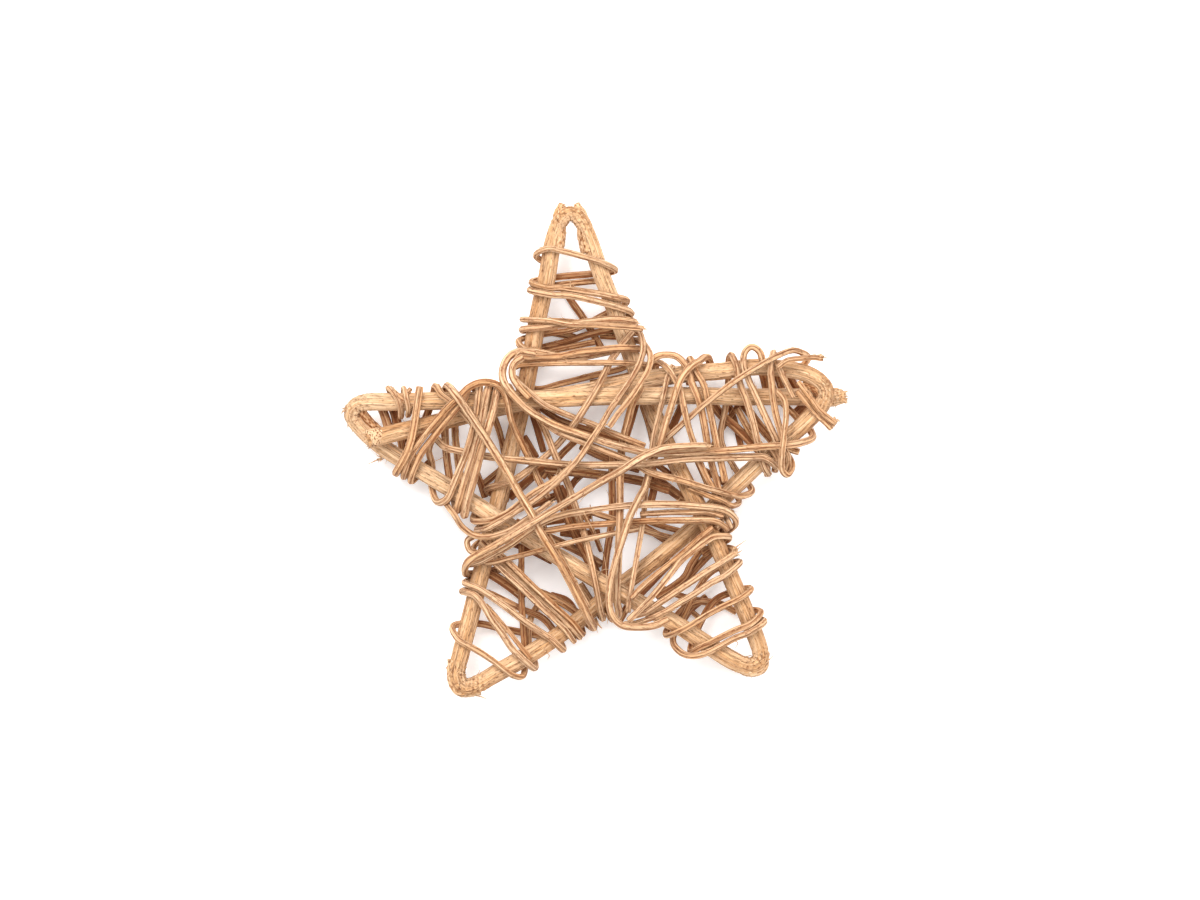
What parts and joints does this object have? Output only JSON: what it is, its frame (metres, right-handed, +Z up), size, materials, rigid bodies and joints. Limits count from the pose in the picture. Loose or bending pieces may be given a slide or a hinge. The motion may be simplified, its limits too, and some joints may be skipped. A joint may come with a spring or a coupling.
{
  "type": "wound vine star",
  "caption": "Five-pointed star ornament bent from one vine rod and bound with thin split vine strands wound across its open middle.",
  "frame": {"origin": "centre of the star's box, on the table it lies on", "axes": "+X towards the right tip with the cut end, +Y towards the top tip, +Z up out of the side the picture shows"},
  "size_m": [0.1504, 0.1468, 0.0265],
  "materials": {
    "frame_vine": "matte peeled vine, lengthwise grooves",
    "binding_strand": "matte split vine, ribbed lengthwise"
  },
  "bodies": {
    "root": {"frame_vine": "frame_vine", "top_winding": "binding_strand", "top_winding_second": "binding_strand", "neck_winding": "binding_strand", "waist_winding": "binding_strand", "shoulder_binding": "binding_strand", "cross_binding": "binding_strand", "cross_binding_short": "binding_strand", "cross_binding_under": "binding_strand", "lower_left_binding": "binding_strand", "lower_left_loop": "binding_strand", "low_cross_binding": "binding_strand", "diagonal_binding": "binding_strand", "middle_binding": "binding_strand", "upper_slant_binding": "binding_strand", "short_slant_binding": "binding_strand", "lower_binding": "binding_strand", "lowest_binding": "binding_strand", "lowest_binding_short": "binding_strand", "centre_upright": "binding_strand", "hooked_upright": "binding_strand", "cut_upright": "binding_strand", "right_leg_binding": "binding_strand", "right_leg_binding_second": "binding_strand", "right_leg_binding_third": "binding_strand", "right_arm_slant": "binding_strand", "right_arm_loop": "binding_strand", "right_arm_short": "binding_strand", "right_hanging_loop": "binding_strand", "right_tip_stub": "binding_strand", "right_tip_stub_second": "binding_strand", "right_tip_frayed": "binding_strand", "left_arm_tangle": "binding_strand", "left_arm_winding": "binding_strand", "left_arm_long": "binding_strand", "left_arm_slant": "binding_strand", "long_binding": "binding_strand", "long_binding_second": "binding_strand", "inner_upright": "binding_strand", "inner_slant": "binding_strand", "lower_left_ring": "binding_strand", "lower_left_winding": "binding_strand", "lower_left_twin": "binding_strand", "lower_left_slant": "binding_strand", "lower_left_slant_second": "binding_strand", "lower_right_winding": "binding_strand", "lower_right_winding_second": "binding_strand", "lower_right_slant": "binding_strand", "lower_right_slant_over": "binding_strand", "lower_right_slant_under": "binding_strand"}
  },
  "joints": []
}
